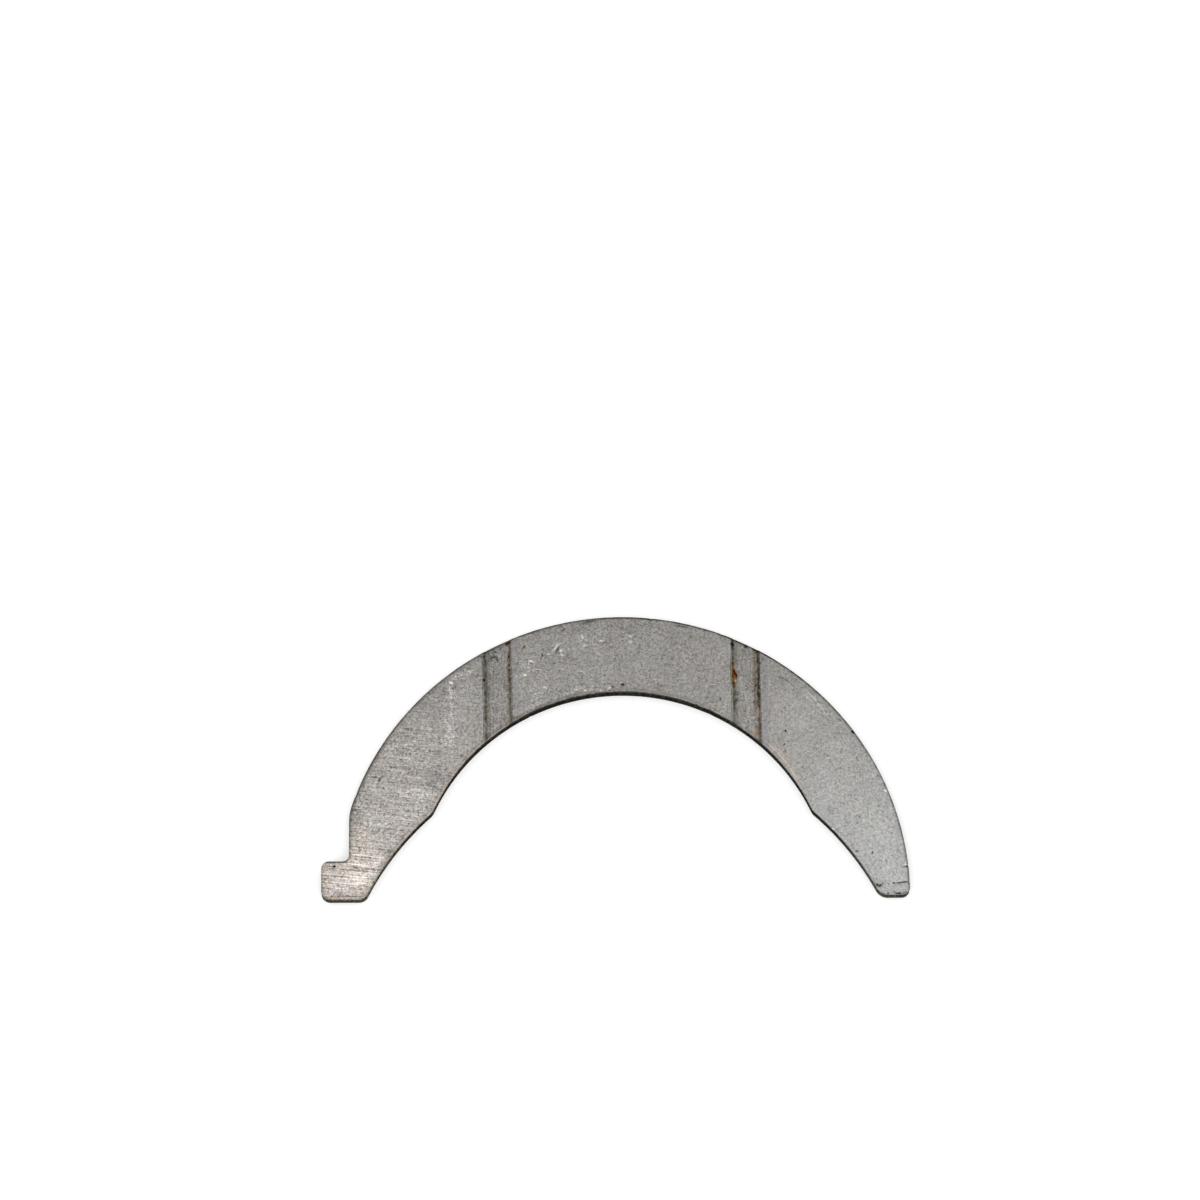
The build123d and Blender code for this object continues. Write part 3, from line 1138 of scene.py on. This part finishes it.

# The grooved face: lapped, brushed on the tab's leg, with grime and rust in the grooves, and painted light
# and shade on its parts, rims and grooves
lappedFace = {
    # the legs and the tab paler than the crown: painted light, their brighter reflection; their tints are
    # their own
    "crown": (0.277, 0.2693, 0.2538),
    "leftLeg": (0.4035, 0.3825, 0.3565),
    "rightLeg": (0.4, 0.4005, 0.3895),
    "tab": (0.462, 0.4255, 0.386),
    "warm": (1.036, 0.986, 0.963),
    "cool": (0.968, 1.01, 1.032),
    "yellowish": (1.026, 1.006, 0.962),
    "bluish": (0.978, 0.995, 1.034),
    "rosy": (1.018, 0.965, 1.018),
    "greenish": (0.984, 1.024, 0.984),
    "shade": (1.03, 1.0, 0.965),
    "shine": (0.975, 1.0, 1.03),
    "brownSpeck": (1.0, 0.92, 0.82),
    "grime": (0.03, 0.026, 0.02),
    "olive": (0.96, 1.0, 0.84),
    "brown": (1.08, 0.96, 0.8),
    "blue": (0.9, 0.91, 0.965),
    "rust": (0.23, 0.062, 0.003),
    "deepRust": (0.042, 0.005, 0.001),
    "varnishTint": (0.95, 0.7, 0.25),
    "oliveFilm": (0.15, 0.155, 0.105),
    "tan": (0.66, 0.5, 0.36),
    "fineScratches": {"Cells": 560.0, "Length": 0.0017, "Width": 0.00012, "Amount": 0.5},
    "longScratches": {"Cells": 240.0, "Length": 0.004, "Width": 0.00013, "Amount": 0.25},
    "scratchShine": 0.2,
    "scratchShadow": -0.16,
    "brushing": {"face": 0.08, "leftLeg": 0.24, "tabLeg": 0.14, "tab": 0.22},
    "unevenness": (3100.0, 1.0),
    "unevenTones": (0.25, 0.6, 0.6, 1.25),
    "tickSizes": (2600.0, 4400.0, 2300.0),
    "ticks": (1.0, 1.0, 0.6),
    "tickRange": (0.56, 0.68),
    "tickShine": 1.7,
    "lipShine": 0.85,
    "grooveShade": 0.1,
    "innerRimShine": 0.2,
    "innerRimShade": 0.8,
    "raggedness": (1000.0, 3.0, 0.65),
    "raggedGaps": (0.3, 0.6, 0.45, 1.0),
    "flecks": (3600.0, 2.0, 0.6),
    "fleckRange": (0.14, 0.42),
    "darkest": 0.06,
    "roughness": 0.42,
    "metallic": 1.0,
    "specular": 0.15,
    "bumpHeight": 0.02,
}


def makeLappedFace(grainGroup, scratchGroup, grooveGroup):
    look = lappedFace
    material, shader, height, place = steelMaterial("lappedFace", look)
    x, y, _ = split(place)
    names = ("rimDistance", "outerRim", "markTone", "scuffGlints")
    rim, outer, marks, scuffGlints = (layer(place.tree, name) for name in names)
    groove = grooveGrimeAndShade(place, grooveGroup)

    # paler towards the feet and on the tab: painted light, the brighter reflection there, with the tab's
    # warmer tint its own; brushed hardest on the tab's leg
    slant = x * -0.5 - y
    towardFeet, high = ranged(y, *zones["feet"]), ranged(y, *zones["crownRim"])
    towardTab, brushed = ranged(slant, *zones["tabLeg"]), ranged(slant, *zones["brushed"])
    onTab, onRight = ranged(x * -1.0 - y, *zones["tab"]), ranged(x, *zones["rightLeg"])
    brush = look["brushing"]
    linesX = brush["face"] + ranged(x, *zones["leftLeg"]) * brush["leftLeg"]
    linesX = (linesX + towardTab * brush["tabLeg"] + onTab * brush["tab"]) * (1.0 - groove["inside"])
    linesY = ranged(x, *zones["crossLines"]) + groove["inside"] * 0.35
    grain = placeGroup(grainGroup, place, LinesX=linesX, LinesY=linesY)
    fine = placeGroup(scratchGroup, place, **look["fineScratches"])
    long = placeGroup(scratchGroup, scaled(place, (-1.0, 1.0, 1.0)), **look["longScratches"])

    leg = tinted(onRight, look["leftLeg"], look["rightLeg"])
    base = tinted(onTab, tinted(towardFeet, look["crown"], leg), look["tab"])
    warm = tinted(onRight, look["warm"], look["yellowish"])
    cool = tinted(onRight, look["cool"], look["bluish"])
    warmth = tinted(ranged(grain["Tint"], 0.3, 0.7), cool, warm)
    mostly = 1.0 - onRight * 0.3
    again = towardTab * 0.4 + onTab * 0.5
    for share, kind in ((mostly, "Hue"), (again, "Cast")):
        hue = tinted(grain[kind], look["greenish"], look["rosy"])
        base = tinted(share, tinted(share, base, hue, "MULTIPLY"), warmth, "MULTIPLY")
    base = tinted(grain["Speck"], base, look["brownSpeck"], "MULTIPLY")

    contrast = brushed * 0.24 + 0.8 + ranged(x, *zones["softer"]) + groove["inside"] * 0.14
    contrast *= 1.0 - groove["blue"] * 0.35
    tone = grain["Tone"] * contrast + grain["Sparkle"] * contrast * 0.5 + grain["Speck"] * -0.25
    for scratches in (fine, long):
        tone += scratches["Mark"] * look["scratchShine"]
        tone += scratches["Shadow"] * look["scratchShadow"]
    # the drawn marks, broken up by the grain, bright ones painted highlights and dark ones dirt and painted
    # shadow, and the painted glints, fine ticks, where the face was scuffed
    uneven = ranged(cloud(place, *look["unevenness"]), *look["unevenTones"])
    bright = (marks * uneven).clamped() * 1.5
    dark = (marks * -1.0).clamped() * uneven
    ticks = ranged(cloud(scaled(place, look["tickSizes"]), *look["ticks"]), *look["tickRange"]) * scuffGlints
    light = tone + bright + ticks * look["tickShine"] + 1.0
    # painted shade a little darker inside the grooves, a painted highlight along their lips, then their dark
    # film
    light *= 1.0 - groove["inside"] * look["grooveShade"]
    light *= 1.0 + groove["lip"] * look["lipShine"]
    light *= 1.0 - groove["film"]

    # edges: painted shade along the rims, most on the tab's half; a broken line of painted shade along the
    # outer rim, strongest on the crown, where the rolled edge turns from the light;
    # a faint painted highlight along the inner rim, where it turns to the light, with a tan line on the left;
    # and inside the arc painted shade where the dark wall meets the face, with a band of painted shade
    # further in
    ragged = cloud(place, *look["raggedness"])
    gaps = ranged(ragged, *look["raggedGaps"])
    inner = 1.0 - outer
    edgeShadeAmount = ranged(x, *zones["edgeShadeMiddle"]) + ranged(x, *zones["edgeShadeTab"])
    paintedEdgeShade = fading(rim, *rimBands["paintedEdgeShade"]) * (edgeShadeAmount * (1.0 - onTab * 0.45))
    paintedEdgeShade += ranged(rim, *rimBands["edgeShadeWide"])
    onFlank = ranged(x, *zones["flank"]) * ranged(y, *zones["aboveTab"])
    paintedEdgeShade += fading(rim, *rimBands["edgeShadeFlank"]) * onFlank
    crownLine = high * ranged(x, *zones["crownLine"])
    footLine = ranged(x, *zones["rightFoot"]) * 0.5
    paintedRimShade = fading(rim, *rimBands["paintedRimShade"]) * (outer * gaps) * (crownLine + footLine + 0.12)
    biteDepth = ranged(y - ranged(x, *zones["arcShift"]), *zones["arcRim"]) * 0.24 - 0.16
    bite = fading(rim + swing(ragged, 0.4) - biteDepth, *rimBands["paintedInnerRimShade"])
    paintedInnerRimShade = bite * inner * look["innerRimShade"]
    shaded = ranged(rim, *rimBands["shaded"]) * inner * (ranged(y, *zones["crown"]) * 0.6 + 0.4)
    paleLine = bandOf(rim, *rimBands["paleLine"]) * (inner * ranged(y, *zones["footEnds"]))
    light += paleLine * gaps * look["innerRimShine"]
    light *= 1.0 - (paintedEdgeShade + shaded)
    light *= 1.0 - (paintedRimShade + paintedInnerRimShade).clamped()
    light = calc("MAXIMUM", light, look["darkest"])

    # dark grains are browner and bright ones whiter, most on the tab
    share = (0.1 + towardTab * 0.2 + onTab * 0.25) * (1.0 - onRight)
    whiter = tinted(ranged(light, 0.7, 1.35), look["shade"], look["shine"])
    colour = dyed(tinted(share, base, dyed(base, whiter)), light)
    for name in ("olive", "brown", "blue"):
        colour = tinted(calc("MINIMUM", groove[name], 1.0), colour, dyed(colour, look[name]))
    # the groove walls' dark cores: partly dirt, partly painted shade
    grime = calc("MINIMUM", groove["grime"], 1.0)
    colour = tinted(grime, colour, look["grime"])
    olive, tan, varnish = (layer(place.tree, name) for name in ("olive", "tan", "varnish"))
    tan += paleLine * ranged(x, *zones["leftRim"]) * gaps * 0.4
    colour = tinted((olive * uneven * 0.8).clamped(), colour, look["oliveFilm"])
    colour = tinted((tan * uneven).clamped() * 0.85, colour, look["tan"])
    colour = tinted((varnish * uneven).clamped(), colour, look["varnishTint"], "MULTIPLY")
    flecks = cloud(place, *look["flecks"]) + 0.5
    rusty = 0.0
    for kind in ("rust", "deepRust"):
        share = ranged(layer(place.tree, kind) * flecks, *look["fleckRange"])
        colour = tinted(share, colour, look[kind])
        rusty = calc("MAXIMUM", rusty, share)
    dirty = (grime * 0.5 + rusty).clamped()
    feed(shader["Base Color"], dyed(colour, 1.0 - (dark * 0.9).clamped()))
    feed(shader["Metallic"], 1.0 - dirty * 0.9)
    feed(shader["Roughness"], look["roughness"] + swing(grain["Height"], 0.12) + dirty * 0.35 - onTab * 0.08)
    feed(height, grain["Height"] + fine["Mark"] * -0.9 + long["Mark"] * -1.2 + rusty * 1.5)
    return material


# The sheared edge: nearly black, partly its own dark oxide and partly painted shade, streaked from face to
# back above, torn and rougher below
shearedEdge = {
    "dark": (0.038, 0.033, 0.023),
    "light": (0.17, 0.162, 0.138),
    "torn": (0.115, 0.108, 0.09),
    "bottom": (0.3, 0.29, 0.265),
    "tornFrom": (0.8, 1.1),  # mm above the back
    "burnished": (0.15, 0.55, 0.6, 0.0),  # from and to, mm above the back, and its share at either end
    "streakSizes": (3200.0, 3200.0, 260.0),
    "streaks": (1.0, 3.0, 0.6),
    "streakTones": (0.35, 0.8),
    "patches": (600.0, 3.0, 0.6),
    "grit": (5200.0, 2.0, 0.6),
    "tears": (450.0, 3.0, 0.6),
    "tearWander": 0.9,
    "innerArcShade": 0.3,
    "innerReach": (0.0315, 0.037),
    "roughness": 0.66,
    "metallic": 0.0,
    "specular": 0.0,
    "bumpHeight": 0.01,
}


def makeShearedEdge():
    look = shearedEdge
    material, shader, height, place = steelMaterial("shearedEdge", look)
    streaks = cloud(scaled(place, look["streakSizes"]), *look["streaks"])
    patches, grit, tears = (cloud(place, *look[name]) for name in ("patches", "grit", "tears"))
    level = split(place)[2] / mm
    tear = fading(level + swing(tears, look["tearWander"]), *look["tornFrom"])
    pale = ranged(streaks + swing(patches, 0.5), *look["streakTones"])
    colour = tinted(pale, look["dark"], look["light"])
    colour = tinted(tear * 0.8, colour, tinted(grit, look["dark"], look["torn"]))
    # burnished where it stands on the back; inside the crown painted shade makes it darkest
    low = ranged(level + swing(patches, 0.4), *look["burnished"])
    colour = tinted(low, colour, look["bottom"])
    reach = fed("VectorMath", {0: scaled(place, (1.0, 1.0, 0.0))}, "Value", operation="LENGTH")
    inner = fading(reach, *look["innerReach"])
    feed(shader["Base Color"], dyed(colour, 1.0 - inner * (1.0 - look["innerArcShade"])))
    feed(shader["Roughness"], look["roughness"] + tear * 0.2 + swing(streaks, 0.3))
    feed(height, streaks + grit * tear * 1.5)
    return material


# The plain back: ground along X, a little duller
plainBack = {
    "base": (0.31, 0.3, 0.283),
    "warm": (1.04, 0.99, 0.96),
    "cool": (0.97, 1.0, 1.02),
    "grime": (0.05, 0.045, 0.038),
    "grainShift": (0.5, 0.3, 0.0),
    "grainLines": {"LinesX": 0.75, "LinesY": 0.1},
    "scratches": {"Cells": 420.0, "Length": 0.0022, "Width": 0.00011, "Amount": 0.5},
    "stains": (90.0, 4.0, 0.65, 0.6),
    "stainRange": (0.55, 0.75),
    "rimDirt": (0.03, 0.16),  # mm in from the rim
    "roughness": 0.46,
    "metallic": 1.0,
    "specular": 0.5,
    "bumpHeight": 0.02,
}


def makePlainBack(grainGroup, scratchGroup):
    look = plainBack
    material, shader, height, place = steelMaterial("plainBack", look)
    rim = layer(place.tree, "rimDistance")
    shifted = vectorCalc("ADD", place, look["grainShift"])
    grain = placeGroup(grainGroup, shifted, **look["grainLines"])
    fine = placeGroup(scratchGroup, shifted, **look["scratches"])
    # the grain's tone, with the scratches' painted highlights and painted shadows
    light = 1.0 + grain["Tone"] * 0.9 + grain["Speck"] * -0.35 + fine["Mark"] * 0.3 + fine["Shadow"] * -0.22
    colour = dyed(look["base"], calc("MAXIMUM", light, 0.1))
    colour = dyed(colour, tinted(ranged(grain["Tint"], 0.3, 0.7), look["cool"], look["warm"]))
    stain = ranged(cloud(shifted, *look["stains"]), *look["stainRange"])
    dirt = (stain * 0.3 + fading(rim, *look["rimDirt"]) * 0.5).clamped()
    feed(shader["Base Color"], tinted(dirt, colour, look["grime"]))
    feed(shader["Roughness"], look["roughness"] + swing(grain["Height"], 0.12) + stain * 0.12)
    feed(height, grain["Height"] - fine["Mark"])
    return material


grainGroup, scratchGroup, grooveGroup = makeLappedGrain(), makeShortScratches(), makeGroovePlace()
washerBody.data.materials.append(makeLappedFace(grainGroup, scratchGroup, grooveGroup))
washerBody.data.materials.append(makeShearedEdge())
washerBody.data.materials.append(makePlainBack(grainGroup, scratchGroup))
print("finishes made")

makeCamera()
makeSky()
makeSoftbox()
makeFloor()
bpy.context.scene.view_settings.view_transform = "Standard"
print("studio set up")
